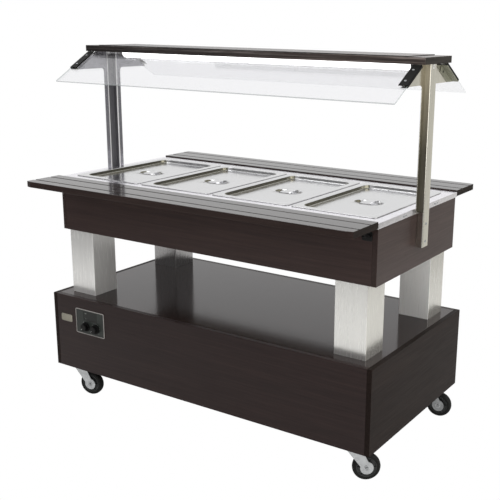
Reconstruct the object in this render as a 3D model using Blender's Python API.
"""Heated buffet bar on castors: four full-size gastronorm wells in a steel top, a dark wood casing on four steel legs,
a lower cabinet with the controls, folding tray slides front and back, and a lit canopy with two sneeze guards.

Metres, +Z up. X runs along the bar, +X to the right seen from the operator's front (-Y). Origin on the floor, under the centre."""

import math

import bmesh
import bpy
from mathutils import Matrix, Vector

# ---------------------------------------------------------------- driving dimensions
GAP = 0.0003            # assembly gap between touching pieces
BOARD = 0.018           # laminated board of cabinet and casing

CAB_L, CAB_D = 1.450, 0.727         # lower cabinet, length and depth
CAB_Z0, CAB_Z1 = 0.130, 0.436

LEG = 0.122             # square leg tube
LEG_WALL = 0.002
LEG_X, LEG_Y = 0.610, 0.2457

CAS_L, CAS_D = 1.402, 0.620         # casing of the well
CAS_Z0, CAS_Z1 = 0.694, 0.8847

TOP_L, TOP_D = 1.408, 0.630         # pressed steel top with turned-down edge
TOP_Z0, TOP_Z1 = 0.885, 0.905
SHEET = 0.002
TANK_X, TANK_Y, TANK_Z = 0.6785, 0.2825, 0.732   # outside half sizes and underside of the water bath

GN_L, GN_W = 0.530, 0.325           # gastronorm 1/1
PITCH = 0.3365                      # well to well
WELL_X = (-1.5 * PITCH, -0.5 * PITCH, 0.5 * PITCH, 1.5 * PITCH)
OPEN_W, OPEN_D, OPEN_R = 0.308, 0.512, 0.045
PAN_DEPTH = 0.100

TRAY_HX = 0.704                     # tray slide half length
TRAY_IN, TRAY_OUT = 0.3165, 0.482   # inner and outer edge, from the middle
TRAY_Z0, TRAY_Z1 = 0.888, 0.910
TRAY_CHAMFER = 0.024, 0.006         # corner easing, along the slide and across it
TRAY_GROOVES = (0.364, 0.438)
GROOVE_W, GROOVE_D = 0.007, 0.004
TRAY_AXIS_Y, TRAY_AXIS_Z = 0.3225, 0.8855

BATTEN_X0, BATTEN_X1 = 0.598, 0.626  # battens screwed under the tray slide
BATTEN_T = 0.010
BATTEN_OUT = 0.436                  # outer end of the battens
STAY_X = 0.664                      # folding stays under the tray slides
STAY_PIVOT_Y, STAY_PIVOT_Z = 0.3165, 0.8580
STAY_LEN, STAY_R, STAY_W = 0.060, 0.005, 0.020
STAY_TIP_Z = TRAY_Z0 - STAY_R - 0.0005

CAN_HX, CAN_HY = 0.741, 0.105       # canopy shelf
CAN_Z0, CAN_Z1 = 1.380, 1.403
CAN_GROOVES = (-0.036, 0.036)

POST_X = 0.7045                     # inner face of the post's flanges
POST_SHEET = 0.002
POST_OUT = 0.7245                   # outer face of the post's channel
POST_STEM, POST_CH = 0.046, 0.022   # half widths of flanges and channel
POST_FOOT = 0.766
WING_HY, WING_Z0 = 0.190, 1.312

GLASS_HX, GLASS_T, GLASS_LEN = 0.728, 0.005, 0.2143
GLASS_TILT = math.radians(30)
GLASS_Y, GLASS_Z = 0.0995, 1.3792   # upper edge of the pane's outer face
CLAMP_LEN, CLAMP_IN = 0.123, 0.698
LAMP_X0, LAMP_X1 = -0.640, 0.684

CASTOR_X, CASTOR_Y = 0.641, 0.308
TRAIL, WHEEL_R, WHEEL_W = 0.042, 0.049, 0.028
AXLE_R = 0.005
CHEEK_TOP, CHEEK_NECK, CHEEK_R = 0.0265, 0.0165, 0.0235    # fork cheek: half widths of the strap, and its round end
CASTOR_TURN = {"front_left": 14, "front_right": 36, "back_right": 8, "back_left": 24}

PLATE_X0, PLATE_X1, PLATE_Z0, PLATE_Z1 = -0.6025, -0.4505, 0.292, 0.394   # control plate
KNOB_R, KNOB_Z, KNOB_X = 0.0195, 0.3240, (-0.5475, -0.4950)
DRAIN_Z = 0.662                     # axis of the drain tap's lever

# ---------------------------------------------------------------- clear the scene
for thing in list(bpy.data.objects):
    bpy.data.objects.remove(thing, do_unlink=True)

# ---------------------------------------------------------------- materials


def material(name, colour, roughness, metallic=0.0, alpha=1.0, emission=0.0):
    mat = bpy.data.materials.new(name)
    mat.use_nodes = True
    shader = mat.node_tree.nodes["Principled BSDF"]
    shader.inputs["Base Color"].default_value = (*colour, 1.0)
    shader.inputs["Roughness"].default_value = roughness
    shader.inputs["Metallic"].default_value = metallic
    shader.inputs["Alpha"].default_value = alpha
    if emission:
        shader.inputs["Emission Color"].default_value = (1.0, 1.0, 0.98, 1.0)
        shader.inputs["Emission Strength"].default_value = emission
    mat.diffuse_color = (*colour, alpha)
    return mat


WOOD = material("dark_wood", (0.030, 0.022, 0.020), 0.32)
STEEL = material("brushed_steel", (0.62, 0.62, 0.61), 0.30, 1.0)
PAN_STEEL = material("pan_steel", (0.68, 0.68, 0.68), 0.24, 1.0)
ZINC = material("zinc_plate", (0.60, 0.61, 0.62), 0.38, 1.0)
BLACK = material("black_metal", (0.012, 0.012, 0.012), 0.45, 0.2)
PLASTIC = material("black_plastic", (0.015, 0.015, 0.016), 0.42)
GREY = material("grey_panel", (0.060, 0.062, 0.064), 0.50)
RUBBER = material("black_rubber", (0.018, 0.018, 0.019), 0.78)
GLASS = material("clear_glass", (0.86, 0.90, 0.90), 0.03, 0.0, 0.25)
LAMP = material("opal_lamp", (0.95, 0.95, 0.94), 0.30, 0.0, 1.0, 2.0)
BRASS = material("brass", (0.66, 0.50, 0.24), 0.32, 1.0)
ELEMENT = material("element_sheath", (0.16, 0.14, 0.13), 0.45, 0.9)

# ---------------------------------------------------------------- mesh helpers


def empty(name, place, parent=None):
    e = bpy.data.objects.new(name, None)
    e.empty_display_size = 0.05
    e.location = place
    bpy.context.scene.collection.objects.link(e)
    if parent:
        e.parent = parent
        e.matrix_parent_inverse = Matrix.Translation(-Vector(parent.location))
    return e


def put(name, bm, mat, pivot=(0, 0, 0), parent=None, cutter=False, smooth=False):
    """Makes the object: the mesh is given in world space, and its origin is moved to the pivot."""
    bmesh.ops.recalc_face_normals(bm, faces=bm.faces)
    bmesh.ops.translate(bm, verts=bm.verts, vec=-Vector(pivot))
    mesh = bpy.data.meshes.new(name)
    bm.to_mesh(mesh)
    bm.free()
    if smooth:
        mesh.shade_smooth()
        mesh.set_sharp_from_angle(angle=math.radians(32))
    if mat:
        mesh.materials.append(mat)
    obj = bpy.data.objects.new(name, mesh)
    obj.location = pivot
    bpy.context.scene.collection.objects.link(obj)
    if parent:
        obj.parent = parent
        obj.matrix_parent_inverse = Matrix.Translation(-Vector(parent.location))
    if cutter:
        obj.hide_render = True
        obj.display_type = "WIRE"
    return obj


def box(x0, x1, y0, y1, z0, z1, bm=None):
    bm = bm or bmesh.new()
    m = Matrix.Translation(((x0 + x1) / 2, (y0 + y1) / 2, (z0 + z1) / 2)) @ Matrix.Diagonal((abs(x1 - x0), abs(y1 - y0), abs(z1 - z0), 1))
    bmesh.ops.create_cube(bm, size=1.0, matrix=m)
    return bm


def loft(rings, closed=False, bm=None):
    """Skins a list of equal loops of points. An open list gets flat caps; a closed one joins its last loop to its first."""
    bm = bm or bmesh.new()
    loops = [[bm.verts.new(p) for p in ring] for ring in rings]
    n = len(loops[0])
    pairs = list(zip(loops, loops[1:])) + ([(loops[-1], loops[0])] if closed else [])
    for a, b in pairs:
        for i in range(n):
            bm.faces.new((a[i], a[(i + 1) % n], b[(i + 1) % n], b[i]))
    if not closed:
        bm.faces.new(loops[0])
        bm.faces.new(loops[-1])
    return bm


def prism(points, axis, a, b, bm=None):
    """Extrudes a 2-D outline from a to b along X, Y or Z. The outline is (y, z), (x, z) or (x, y)."""
    place = {"X": lambda p, t: (t, p[0], p[1]), "Y": lambda p, t: (p[0], t, p[1]), "Z": lambda p, t: (p[0], p[1], t)}[axis]
    return loft([[place(p, a) for p in points], [place(p, b) for p in points]], bm=bm)


def circle(cx, cy, r, n, start=0.0):
    return [(cx + r * math.cos(start + 2 * math.pi * i / n), cy + r * math.sin(start + 2 * math.pi * i / n)) for i in range(n)]


def rounded(cx, cy, w, d, r, seg=4):
    """Outline of a rectangle with rounded corners."""
    out = []
    for sx, sy, a0 in ((1, 1, 0), (-1, 1, 90), (-1, -1, 180), (1, -1, 270)):
        for i in range(seg + 1):
            a = math.radians(a0 + 90 * i / seg)
            out.append((cx + sx * (w / 2 - r) + r * math.cos(a), cy + sy * (d / 2 - r) + r * math.sin(a)))
    return out


def strap(top, half_top, half_neck, centre, r, n=20):
    """Outline of a strap that narrows from a wide straight top to a neck, and ends in a disc."""
    c = Vector(centre)
    d = (c - Vector(top)).normalized()
    side = Vector((-d.y, d.x)) * half_neck
    back = math.sqrt(r * r - half_neck * half_neck)
    ends = sorted((c - d * back + side, c - d * back - side), key=lambda p: p.x)
    a0, a1 = (math.atan2(p.y - c.y, p.x - c.x) for p in ends)
    while a1 < a0:
        a1 += 2 * math.pi
    arc = [(c.x + r * math.cos(a0 + (a1 - a0) * k / n), c.y + r * math.sin(a0 + (a1 - a0) * k / n)) for k in range(n + 1)]
    return [(top[0] - half_top, top[1]), (top[0] - half_top + 0.001, top[1] - 0.0045)] + arc + [(top[0] + half_top - 0.001, top[1] - 0.0045), (top[0] + half_top, top[1])]


def turned(profile, n, bm=None):
    """A closed (radius, height) profile turned about Z."""
    rings = [[(r * math.cos(2 * math.pi * i / n), r * math.sin(2 * math.pi * i / n), z) for r, z in profile] for i in range(n)]
    return loft(rings, closed=True, bm=bm)


def tube(path, r, n=8, bm=None):
    """A round bar along a path of points, with flat ends."""
    path = [Vector(p) for p in path]
    rings, side = [], Vector((0, 0, 1))
    for i, p in enumerate(path):
        t = (path[min(i + 1, len(path) - 1)] - path[max(i - 1, 0)]).normalized()
        side = (side - side.dot(t) * t)
        side = side.normalized() if side.length > 1e-6 else t.orthogonal().normalized()
        up = t.cross(side)
        rings.append([p + r * (math.cos(2 * math.pi * k / n) * side + math.sin(2 * math.pi * k / n) * up) for k in range(n)])
    return loft(rings, bm=bm)


def cut(obj, tool, how="DIFFERENCE"):
    m = obj.modifiers.new(how.lower(), "BOOLEAN")
    m.operation = how
    m.object = tool
    m.solver = "EXACT"
    return m


def tool(name, bm, pivot=(0, 0, 0)):
    return put(name, bm, None, pivot, cutter=True)


def moved(bm, matrix):
    bmesh.ops.transform(bm, matrix=matrix, verts=bm.verts)
    return bm


FRAME = empty("bar_frame", (0, 0, 0))

# ---------------------------------------------------------------- lower cabinet
hx, hy = CAB_L / 2, CAB_D / 2
ix, iy = hx - BOARD - GAP, hy - BOARD - GAP
put("base_left_panel", box(-hx, -hx + BOARD, -hy, hy, CAB_Z0, CAB_Z1), WOOD, parent=FRAME)
put("base_right_panel", box(hx - BOARD, hx, -hy, hy, CAB_Z0, CAB_Z1), WOOD, parent=FRAME)
front = put("base_front_panel", box(-ix, ix, -hy, -hy + BOARD, CAB_Z0, CAB_Z1), WOOD, parent=FRAME)
back = put("base_back_panel", box(-ix, ix, hy - BOARD, hy, CAB_Z0, CAB_Z1), WOOD, parent=FRAME)
put("base_top_panel", box(-ix, ix, -iy, iy, CAB_Z1 - BOARD, CAB_Z1), WOOD, parent=FRAME)
put("base_bottom_panel", box(-ix, ix, -iy, iy, CAB_Z0 + GAP, CAB_Z0 + GAP + BOARD), WOOD, parent=FRAME)
# cut-out for the control unit, and the hole for the mains lead
cut(front, tool("control_cutout", box(PLATE_X0 + 0.009, PLATE_X1 - 0.009, -hy - 0.01, -hy + BOARD + 0.01, PLATE_Z0 + 0.009, PLATE_Z1 - 0.009)))
cut(back, tool("lead_hole", prism(circle(-0.60, 0.20, 0.011, 16), "Y", hy - BOARD - 0.01, hy + 0.01)))

# ---------------------------------------------------------------- legs
for side, sx in (("left", -1), ("right", 1)):
    for end, sy in (("front", -1), ("back", 1)):
        cx, cy, w = sx * LEG_X, sy * LEG_Y, LEG / 2
        outer = [(cx - w, cy - w), (cx + w, cy - w), (cx + w, cy + w), (cx - w, cy + w)]
        v = w - LEG_WALL
        inner = [(cx - v, cy - v), (cx + v, cy - v), (cx + v, cy + v), (cx - v, cy + v)]
        z0, z1 = CAB_Z1 + GAP, CAS_Z0 - GAP
        rings = [[(x, y, z0) for x, y in outer], [(x, y, z1) for x, y in outer], [(x, y, z1) for x, y in inner], [(x, y, z0) for x, y in inner]]
        put(f"leg_{end}_{side}", loft(rings, closed=True), STEEL, parent=FRAME)

# ---------------------------------------------------------------- casing of the well
hx, hy = CAS_L / 2, CAS_D / 2
ix, iy = hx - BOARD - GAP, hy - BOARD - GAP
put("casing_left_panel", box(-hx, -hx + BOARD, -hy, hy, CAS_Z0, CAS_Z1), WOOD, parent=FRAME)
put("casing_right_panel", box(hx - BOARD, hx, -hy, hy, CAS_Z0, CAS_Z1), WOOD, parent=FRAME)
put("casing_front_panel", box(-ix, ix, -hy, -hy + BOARD, CAS_Z0, CAS_Z1), WOOD, parent=FRAME)
put("casing_back_panel", box(-ix, ix, hy - BOARD, hy, CAS_Z0, CAS_Z1), WOOD, parent=FRAME)
floor = put("casing_bottom_panel", box(-ix, ix, -iy, iy, CAS_Z0, CAS_Z0 + 0.012), WOOD, parent=FRAME)
cut(floor, tool("drain_passage", prism(circle(0, 0, 0.026, 20), "Z", CAS_Z0 - 0.01, CAS_Z0 + 0.03)))

# ---------------------------------------------------------------- steel top and water bath, one welded piece
well = put("well_tank", box(-TOP_L / 2, TOP_L / 2, -TOP_D / 2, TOP_D / 2, TOP_Z0, TOP_Z1), STEEL, parent=FRAME)
s = SHEET
cut(well, tool("skirt_hollow", box(-TOP_L / 2 + s, TOP_L / 2 - s, -TOP_D / 2 + s, TOP_D / 2 - s, TOP_Z0 + s, TOP_Z1 - s)))
cut(well, tool("skirt_mouth", box(-TOP_L / 2 + 0.018, TOP_L / 2 - 0.018, -TOP_D / 2 + 0.018, TOP_D / 2 - 0.018, TOP_Z0 - 0.01, TOP_Z0 + s + 0.001)))
cut(well, tool("tank_shell", box(-TANK_X, TANK_X, -TANK_Y, TANK_Y, TANK_Z, TOP_Z1 - s / 2)), "UNION")
cut(well, tool("tank_hollow", box(-TANK_X + s, TANK_X - s, -TANK_Y + s, TANK_Y - s, TANK_Z + s, TOP_Z1 - s)))
for i, x in enumerate(WELL_X):
    cut(well, tool(f"well_opening_{i + 1}", prism(rounded(x, 0, OPEN_W, OPEN_D, OPEN_R), "Z", TOP_Z1 - 0.01, TOP_Z1 + 0.01)))
cut(well, tool("drain_hole", prism(circle(0, 0, 0.011, 16), "Z", TANK_Z - 0.01, TANK_Z + 0.01)))
for i, y in enumerate((-0.13, 0.13)):
    cut(well, tool(f"element_hole_{i + 1}", prism(circle(-0.62, y, 0.0055, 12), "Z", TANK_Z - 0.01, TANK_Z + 0.01)))

# ---------------------------------------------------------------- pans and lids
RIM_Z = TOP_Z1 + GAP
RIM_T = 0.0012
LID_Z = RIM_Z + RIM_T + GAP
LID_T = 0.0012
LID_WELL = 0.013        # depth of the lid's sunken panel
DISH_DEPTH = 0.018      # finger dish below the panel


def ring(x, w, d, r, z):
    return [(px, py, z) for px, py in rounded(x, 0, w, d, r, 4)]


for i, x in enumerate(WELL_X):
    t = 0.0015
    z0 = RIM_Z + RIM_T - PAN_DEPTH
    pan_rings = [
        ring(x, GN_W, GN_L, 0.018, RIM_Z),
        ring(x, GN_W, GN_L, 0.018, RIM_Z + RIM_T),
        ring(x, 0.297, 0.502, 0.052, RIM_Z + RIM_T),
        ring(x, 0.275, 0.480, 0.048, z0 + t),
    ]
    under = [
        ring(x, 0.275 + 2 * t, 0.480 + 2 * t, 0.048 + t, z0),
        ring(x, 0.297 + 2 * t, 0.502 + 2 * t, 0.052 + t, RIM_Z),
    ]
    bm = bmesh.new()
    loops = [[bm.verts.new(p) for p in rr] for rr in pan_rings + under]
    n = len(loops[0])
    for a, b in ((0, 1), (1, 2), (2, 3), (4, 5), (5, 0)):
        for k in range(n):
            bm.faces.new((loops[a][k], loops[a][(k + 1) % n], loops[b][(k + 1) % n], loops[b][k]))
    bm.faces.new(loops[3])
    bm.faces.new(loops[4])
    put(f"pan_{i + 1}", bm, PAN_STEEL, pivot=(x, 0, RIM_Z))

    # lid: flat flange, sunken panel, oval finger dish with a bridge across it
    zf, zp = LID_Z, LID_Z - LID_WELL
    w0, d0, w1, d1 = GN_W - 0.052, GN_L - 0.052, GN_W - 0.062, GN_L - 0.062
    # the oval starts on the side where the rounded rectangle starts, so that the panel skins cleanly
    oval = [(x + 0.054 * math.cos(2 * math.pi * (k + 0.5) / 20), 0.031 * math.sin(2 * math.pi * (k + 0.5) / 20)) for k in range(20)]
    bm = bmesh.new()
    oval_hi = [(px, py, zp + LID_T) for px, py in oval]
    oval_lo = [(x + (px - x) * 1.013, py * 1.025, zp) for px, py in oval]
    dish = [(x + (px - x) * 0.80, py * 0.74, zp + LID_T - DISH_DEPTH) for px, py in oval]
    dish_lo = [(x + (px - x) * 0.82, py * 0.77, zp - DISH_DEPTH) for px, py in oval]
    stack = [
        ring(x, GN_W, GN_L, 0.016, zf),
        ring(x, GN_W, GN_L, 0.016, zf + LID_T),
        ring(x, w0, d0, 0.040, zf + LID_T),
        ring(x, w1, d1, 0.035, zp + LID_T),
        oval_hi,
        dish,
    ]
    stack_lo = [
        dish_lo,
        oval_lo,
        ring(x, w1 + 0.0017, d1 + 0.0017, 0.0358, zp),
        ring(x, w0 + 0.0017, d0 + 0.0017, 0.0408, zf),
    ]
    loops = [[bm.verts.new(p) for p in rr] for rr in stack + stack_lo]
    n = len(loops[0])
    for a, b in ((0, 1), (1, 2), (2, 3), (3, 4), (4, 5), (6, 7), (7, 8), (8, 9), (9, 0)):
        for k in range(n):
            bm.faces.new((loops[a][k], loops[a][(k + 1) % n], loops[b][(k + 1) % n], loops[b][k]))
    bm.faces.new(loops[5])
    bm.faces.new(loops[6])
    lid = put(f"lid_{i + 1}", bm, PAN_STEEL, pivot=(x, 0, LID_Z))
    cut(lid, tool(f"lid_bridge_{i + 1}", box(x - 0.018, x + 0.018, -0.034, 0.034, zp + 0.0001, zp + LID_T + 0.0012)), "UNION")

# ---------------------------------------------------------------- heating element in the bath
path = [(-0.62, -0.13, 0.7245), (-0.62, -0.13, 0.752)]
ys = (-0.13, -0.0433, 0.0433, 0.13)
path += [(-0.606, -0.13, 0.764)]
for k, y in enumerate(ys):
    near, far = (-0.58, 0.58) if k % 2 == 0 else (0.58, -0.58)
    if k > 0:
        path.append((near, y, 0.764))
    path.append((far, y, 0.764))
    if k < 3:
        r = (ys[k + 1] - y) / 2
        for j in range(1, 6):
            a = math.pi * j / 6
            bulge = r * math.sin(a)
            path.append((far + (bulge if far > 0 else -bulge), y + r - r * math.cos(a), 0.764))
path += [(-0.606, 0.13, 0.764), (-0.62, 0.13, 0.752), (-0.62, 0.13, 0.7245)]
put("heating_element", tube(path, 0.00425, 8), ELEMENT, parent=FRAME)

# ---------------------------------------------------------------- drain tap under the bath
prof = [(0.0085, TANK_Z - GAP), (0.024, TANK_Z - GAP), (0.024, TANK_Z - 0.004), (0.0135, TANK_Z - 0.004), (0.0135, 0.678), (0.0175, 0.674), (0.0175, 0.650),
        (0.0135, 0.646), (0.0135, 0.630), (0.0085, 0.630)]
drain = put("drain_valve", turned(prof, 20), BRASS, parent=FRAME, smooth=True)
cut(drain, tool("drain_stem", prism(circle(0, DRAIN_Z, 0.0055, 12), "Y", -0.0225, -0.012)), "UNION")
pivot = (0, -0.0225 - GAP, DRAIN_Z)
lever = box(-0.010, 0.078, -0.0262, -0.0225 - GAP, DRAIN_Z - 0.008, DRAIN_Z + 0.008)
put("drain_lever", lever, BLACK, pivot=pivot)

# ---------------------------------------------------------------- control unit
hy = CAB_D / 2
panel = put("control_plate", prism(rounded((PLATE_X0 + PLATE_X1) / 2, (PLATE_Z0 + PLATE_Z1) / 2, PLATE_X1 - PLATE_X0, PLATE_Z1 - PLATE_Z0, 0.006, 3), "Y", -hy - 0.003, -hy - GAP), GREY, parent=FRAME)
cut(panel, tool("control_housing", box(PLATE_X0 + 0.010, PLATE_X1 - 0.010, -hy - 0.001, -hy + 0.075, PLATE_Z0 + 0.010, PLATE_Z1 - 0.010)), "UNION")
cut(panel, tool("display_recess", box(-0.560, -0.487, -hy - 0.01, -hy - 0.0015, 0.350, 0.3865)))
for name, x in zip(("switch_knob", "thermostat_knob"), KNOB_X):
    y1 = -hy - 0.003 - GAP
    bm = loft([[(px, y1, pz) for px, pz in circle(x, KNOB_Z, KNOB_R, 24)],
               [(px, y1 - 0.004, pz) for px, pz in circle(x, KNOB_Z, KNOB_R, 24)],
               [(px, y1 - 0.0045, pz) for px, pz in circle(x, KNOB_Z, KNOB_R - 0.0025, 24)],
               [(px, y1 - 0.018, pz) for px, pz in circle(x, KNOB_Z, KNOB_R - 0.0035, 24)]])
    put(name, bm, PLASTIC, pivot=(x, y1, KNOB_Z), smooth=True)

# ---------------------------------------------------------------- posts: winged plate folded into an outward channel


def wing_outline():
    """(y, z) outline of the flange sheet: stem below, wings above, small fillets between."""
    slope = math.tan(GLASS_TILT)
    under = 0.0056 / math.cos(GLASS_TILT)       # the wing's edge lies this far under the pane
    edge = lambda y: GLASS_Z - (y - GLASS_Y) * slope - under
    tip_z = edge(WING_HY)
    top = CAN_Z0 - GAP
    y_top = GLASS_Y - (top - GLASS_Z + under) / slope
    r = 0.014
    fillet = [(POST_STEM + r - r * math.sin(a), WING_Z0 - r + r * math.cos(a)) for a in (0, math.pi / 6, math.pi / 3, math.pi / 2)]
    half = [(y_top, top), (WING_HY, tip_z), (WING_HY, tip_z - 0.003), (WING_HY - 0.005, WING_Z0)] + fillet + [(POST_STEM, TOP_Z0 + 0.003)]
    return half + [(-y, z) for y, z in reversed(half)]


for side, sx in (("left", -1), ("right", 1)):
    post = put(f"post_{side}", prism(wing_outline(), "X", sx * POST_X, sx * (POST_X + POST_SHEET)), STEEL, parent=FRAME)
    # the channel: an outer box, hollowed from inside
    cut(post, tool(f"post_channel_{side}", box(min(sx * (POST_X - 0.0028), sx * POST_OUT), max(sx * (POST_X - 0.0028), sx * POST_OUT), -POST_CH, POST_CH, POST_FOOT, CAN_Z0 - GAP)), "UNION")
    cut(post, tool(f"post_hollow_{side}", box(min(sx * (POST_X - 0.02), sx * (POST_OUT - POST_SHEET)), max(sx * (POST_X - 0.02), sx * (POST_OUT - POST_SHEET)),
                                              -POST_CH + POST_SHEET, POST_CH - POST_SHEET, POST_FOOT - 0.01, CAN_Z0 + 0.01)))
    # above the casing the channel's sides stop at the flange sheet
    cut(post, tool(f"post_trim_{side}", box(min(sx * (POST_X - 0.02), sx * POST_X), max(sx * (POST_X - 0.02), sx * POST_X), -0.05, 0.05, TOP_Z0 - 0.002, CAN_Z0 + 0.01)))
    cut(post, tool(f"post_lead_hole_{side}", prism(circle(0, 1.371, 0.006, 12), "X", sx * 0.715, sx * 0.735)))

# ---------------------------------------------------------------- canopy, lamp, glass and clamps


def grooved(y0, y1, z0, z1, grooves):
    """(y, z) outline of a board with square grooves in its top."""
    pts = [(y0, z0), (y1, z0), (y1, z1)]
    for g in sorted(grooves, reverse=True):
        pts += [(g + GROOVE_W / 2, z1), (g + GROOVE_W / 2, z1 - GROOVE_D), (g - GROOVE_W / 2, z1 - GROOVE_D), (g - GROOVE_W / 2, z1)]
    return pts + [(y0, z1)]


put("canopy_shelf", prism(grooved(-CAN_HY, CAN_HY, CAN_Z0, CAN_Z1, CAN_GROOVES), "X", -CAN_HX, CAN_HX), WOOD, parent=FRAME)
lamp_outline = [(-0.034, CAN_Z0 - GAP), (0.034, CAN_Z0 - GAP), (0.034, 1.372), (0.029, 1.363), (0.018, 1.3575), (0.0, 1.3555), (-0.018, 1.3575), (-0.029, 1.363), (-0.034, 1.372)]
put("canopy_lamp", prism(lamp_outline, "X", LAMP_X0, LAMP_X1), LAMP, parent=FRAME)

for end, sy in (("front", -1), ("back", 1)):
    down = Vector((0, sy * math.cos(GLASS_TILT), -math.sin(GLASS_TILT)))
    out = Vector((0, sy * math.sin(GLASS_TILT), math.cos(GLASS_TILT)))
    edge = Vector((0, sy * GLASS_Y, GLASS_Z))
    pane = []
    for a in (0.0, GLASS_LEN):
        pane.append([edge + down * a + out * o + Vector((x, 0, 0)) for x, o in ((-GLASS_HX, 0), (GLASS_HX, 0), (GLASS_HX, -GLASS_T), (-GLASS_HX, -GLASS_T))])
    put(f"glass_{end}", loft(pane), GLASS, parent=FRAME)
    for side, sx in (("left", -1), ("right", 1)):
        shape = [(CLAMP_IN, 0.0030), (0.7303, 0.0030), (0.7303, -0.0078), (0.7088, -0.0078), (0.7088, -0.0300), (0.7068, -0.0300), (0.7068, -0.0053), (0.7283, -0.0053),
                 (0.7283, GAP), (CLAMP_IN, GAP)]
        rings = [[edge + down * a + out * o + Vector((sx * x, 0, 0)) for x, o in shape] for a in (0.006, CLAMP_LEN)]
        put(f"glass_clamp_{end}_{side}", loft(rings), BLACK, parent=FRAME)

# ---------------------------------------------------------------- tray slides and their folding stays
for end, sy in (("front", -1), ("back", 1)):
    outline = grooved(TRAY_IN, TRAY_OUT, TRAY_Z0, TRAY_Z1, TRAY_GROOVES)
    if sy < 0:
        outline = [(-y, z) for y, z in outline]
    pivot = (0, sy * TRAY_AXIS_Y, TRAY_AXIS_Z)
    tray = put(f"tray_slide_{end}", prism(outline, "X", -TRAY_HX, TRAY_HX), WOOD, pivot=pivot)
    cx_, cy_ = TRAY_CHAMFER
    for side, sx in (("left", -1), ("right", 1)):
        corner = [(sx * (TRAY_HX - cx_), sy * TRAY_OUT), (sx * TRAY_HX, sy * (TRAY_OUT - cy_)), (sx * (TRAY_HX + 0.02), sy * (TRAY_OUT - cy_)), (sx * (TRAY_HX + 0.02), sy * (TRAY_OUT + 0.02)), (sx * (TRAY_HX - cx_), sy * (TRAY_OUT + 0.02))]
        cut(tray, tool(f"tray_corner_{end}_{side}", prism(corner, "Z", TRAY_Z0 - 0.01, TRAY_Z1 + 0.01)))
        b0, b1 = sorted((sy * (TRAY_IN + 0.0095), sy * BATTEN_OUT))
        x0, x1 = sorted((sx * BATTEN_X0, sx * BATTEN_X1))
        cut(tray, tool(f"tray_batten_{end}_{side}", box(x0, x1, b0, b1, TRAY_Z0 - BATTEN_T, TRAY_Z0 + 0.001)), "UNION")
    # each stay: pivot eye on the casing, arm, and a rolling tip under the board
    rise = STAY_TIP_Z - STAY_PIVOT_Z
    reach = math.sqrt(STAY_LEN ** 2 - rise ** 2)
    for side, sx in (("left", -1), ("right", 1)):
        a = math.atan2(rise, reach)
        n = 12
        pts = []
        for k in range(n // 2 + 1):
            t = math.pi / 2 + math.pi * k / (n // 2)
            pts.append((STAY_R * math.cos(t), STAY_R * math.sin(t)))
        for k in range(n // 2 + 1):
            t = -math.pi / 2 + math.pi * k / (n // 2)
            pts.append((STAY_LEN + STAY_R * math.cos(t), STAY_R * math.sin(t)))
        ca, sa = math.cos(a), math.sin(a)
        pts = [(sy * (STAY_PIVOT_Y + u * ca - w * sa), STAY_PIVOT_Z + u * sa + w * ca) for u, w in pts]
        bm = prism(pts, "X", sx * STAY_X - STAY_W / 2, sx * STAY_X + STAY_W / 2)
        put(f"tray_stay_{end}_{side}", bm, BLACK, pivot=(sx * STAY_X, sy * STAY_PIVOT_Y, STAY_PIVOT_Z))

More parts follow.
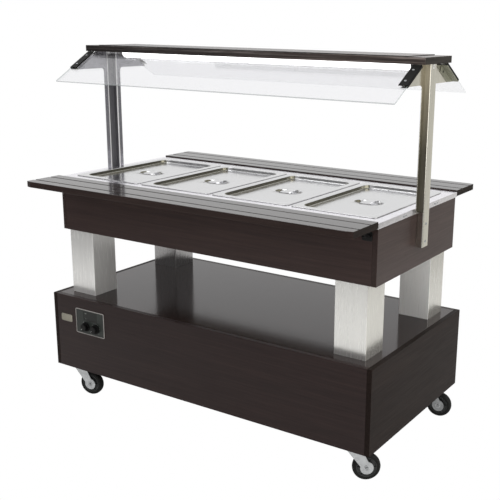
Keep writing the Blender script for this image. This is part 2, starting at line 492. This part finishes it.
# ---------------------------------------------------------------- castors
for side, sx in (("left", -1), ("right", 1)):
    for end, sy in (("front", -1), ("back", 1)):
        where = f"{end}_{side}"
        cx, cy = sx * CASTOR_X, sy * CASTOR_Y
        put(f"castor_plate_{where}", box(cx - 0.048, cx + 0.048, cy - 0.036, cy + 0.036, CAB_Z0 - 0.0025, CAB_Z0), ZINC, parent=FRAME)
        turn = Matrix.Translation((cx, cy, 0)) @ Matrix.Rotation(math.radians(CASTOR_TURN[where]), 4, "Z")
        head = empty(f"castor_swivel_{where}", (cx, cy, 0.118))
        # fork: swivel head on a crown, two cheeks with round ends, and the axle between them
        head_rings = [[(px, py, z) for px, py in circle(0, 0, r, 24)] for r, z in ((0.0265, 0.1168), (0.0300, 0.1190), (0.0300, 0.1240), (0.0240, 0.1272))]
        fork = put(f"castor_fork_{where}", moved(loft(head_rings), turn), ZINC, pivot=(cx, cy, 0.118), parent=head)
        cheek = strap((0.0, 0.1180), CHEEK_TOP, CHEEK_NECK, (TRAIL, WHEEL_R), CHEEK_R)
        for k, (v0, v1) in enumerate(((-0.0190, -0.0165), (0.0165, 0.0190))):
            cut(fork, tool(f"cheek_{k}_{where}", moved(prism(cheek, "Y", v0, v1), turn)), "UNION")
        cut(fork, tool(f"fork_crown_{where}", moved(box(-0.0240, 0.0240, -0.0185, 0.0185, 0.1150, 0.1177), turn)), "UNION")
        cut(fork, tool(f"axle_{where}", moved(prism(circle(TRAIL, WHEEL_R, AXLE_R, 12), "Y", -0.0205, 0.0205), turn)), "UNION")
        # wheel: solid tyre on a rim, turning on the axle
        axle = turn @ Vector((TRAIL, 0, WHEEL_R))
        w = WHEEL_W / 2
        r = WHEEL_R
        prof = [(AXLE_R + GAP, -w - 0.001), (0.011, -w - 0.001), (0.0125, -w + 0.003), (0.029, -w + 0.003), (0.031, -w), (r - 0.007, -w), (r - 0.002, -w + 0.004), (r, -w + 0.009),
                (r, w - 0.009), (r - 0.002, w - 0.004), (r - 0.007, w), (0.031, w), (0.029, w - 0.003), (0.0125, w - 0.003), (0.011, w + 0.001), (AXLE_R + GAP, w + 0.001)]
        spin = turn @ Matrix.Translation((TRAIL, 0, WHEEL_R)) @ Matrix.Rotation(math.radians(90), 4, "X")
        put(f"castor_wheel_{where}", moved(moved(turned(prof, 28), spin), Matrix.Identity(4)), RUBBER, pivot=axle, parent=head, smooth=True)
        if side == "left":
            pedal = [(0.024, 0.1055), (0.044, 0.1055), (0.046, 0.1025), (0.056, 0.1025), (0.058, 0.1055), (0.086, 0.1050), (0.110, 0.0940), (0.1115, 0.0965), (0.087, 0.1080), (0.024, 0.1080)]
            shoe = put(f"castor_brake_{where}", moved(prism(pedal, "Y", -0.0125, 0.0125), turn), BLACK, pivot=turn @ Vector((0.030, 0, 0.1068)), parent=head)
            pad = [(0.0845, 0.1048), (0.1110, 0.0925), (0.1130, 0.0965), (0.0865, 0.1092)]
            cut(shoe, tool(f"pedal_pad_{where}", moved(prism(pad, "Y", -0.021, 0.021), turn)), "UNION")
